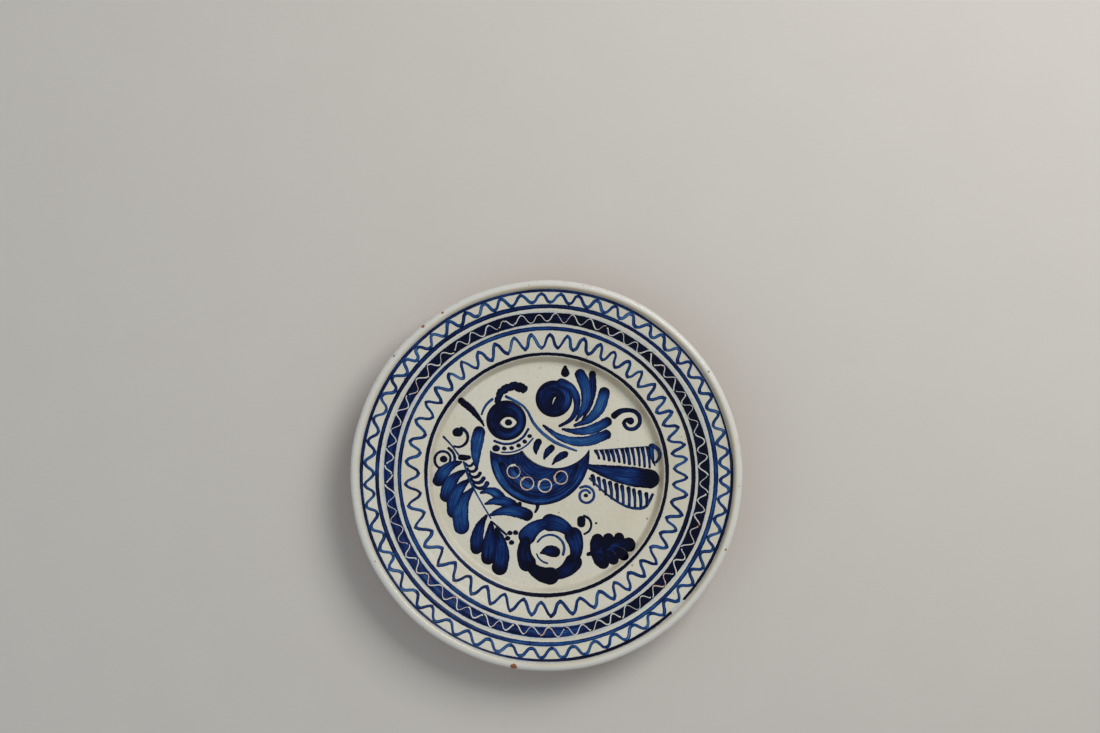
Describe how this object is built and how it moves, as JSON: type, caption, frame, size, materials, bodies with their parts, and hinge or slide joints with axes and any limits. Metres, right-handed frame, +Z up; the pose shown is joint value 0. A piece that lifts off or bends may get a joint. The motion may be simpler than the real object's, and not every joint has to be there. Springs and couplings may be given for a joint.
{
  "type": "hand painted earthenware plate",
  "caption": "Round footed earthenware plate with a shallow well, a sloping flange and a rounded lip, white slipped and painted in cobalt with a folk bird and zigzag rings.",
  "frame": {"origin": "under the middle of the foot ring, on the plane it rests on", "axes": "+Z up out of the painted face, +Y to the top of the painted picture, +X to its right"},
  "size_m": [0.26, 0.26, 0.034],
  "materials": {
    "earthenware": "bare red earthenware with a thin clear glaze",
    "white_slip": "warm white slip under a clear glossy glaze",
    "cobalt_blue": "brushed cobalt under a clear glossy glaze",
    "cobalt_dark": "thick pooled cobalt under a clear glossy glaze"
  },
  "bodies": {
    "root": {"clay_body": "earthenware", "white_slip": "white_slip", "rim_line": "cobalt_blue", "rim_zigzag": "cobalt_blue", "outer_line": "cobalt_blue", "scratched_band": "cobalt_dark", "inner_line": "cobalt_blue", "well_zigzag": "cobalt_blue", "well_line": "cobalt_dark", "bird_head": "cobalt_dark", "bird_eye": "cobalt_dark", "bird_beak": "cobalt_dark", "bird_cheek": "cobalt_blue", "bird_crest": "cobalt_dark", "bird_throat": "cobalt_blue", "bird_collar": "cobalt_blue", "bird_back": "cobalt_blue", "bird_body": "cobalt_dark", "wing_marks": "cobalt_dark", "bird_feet": "cobalt_dark", "crest_scroll": "cobalt_dark", "drop": "cobalt_dark", "plumes": "cobalt_blue", "tail_top": "cobalt_blue", "tail_feather": "cobalt_dark", "tail_bottom": "cobalt_blue", "curl_right": "cobalt_dark", "curl_belly": "cobalt_blue", "curl_low": "cobalt_dark", "curl_left_top": "cobalt_dark", "curl_left": "cobalt_dark", "stem": "cobalt_blue", "stem_hooks": "cobalt_dark", "leaves_left": "cobalt_blue", "leaves_right": "cobalt_blue", "leaves_low": "cobalt_dark", "berries": "cobalt_dark", "flower_petals": "cobalt_dark", "flower_rings": "cobalt_blue", "flower_heart": "cobalt_dark", "oak_leaf": "cobalt_dark"}
  },
  "joints": []
}
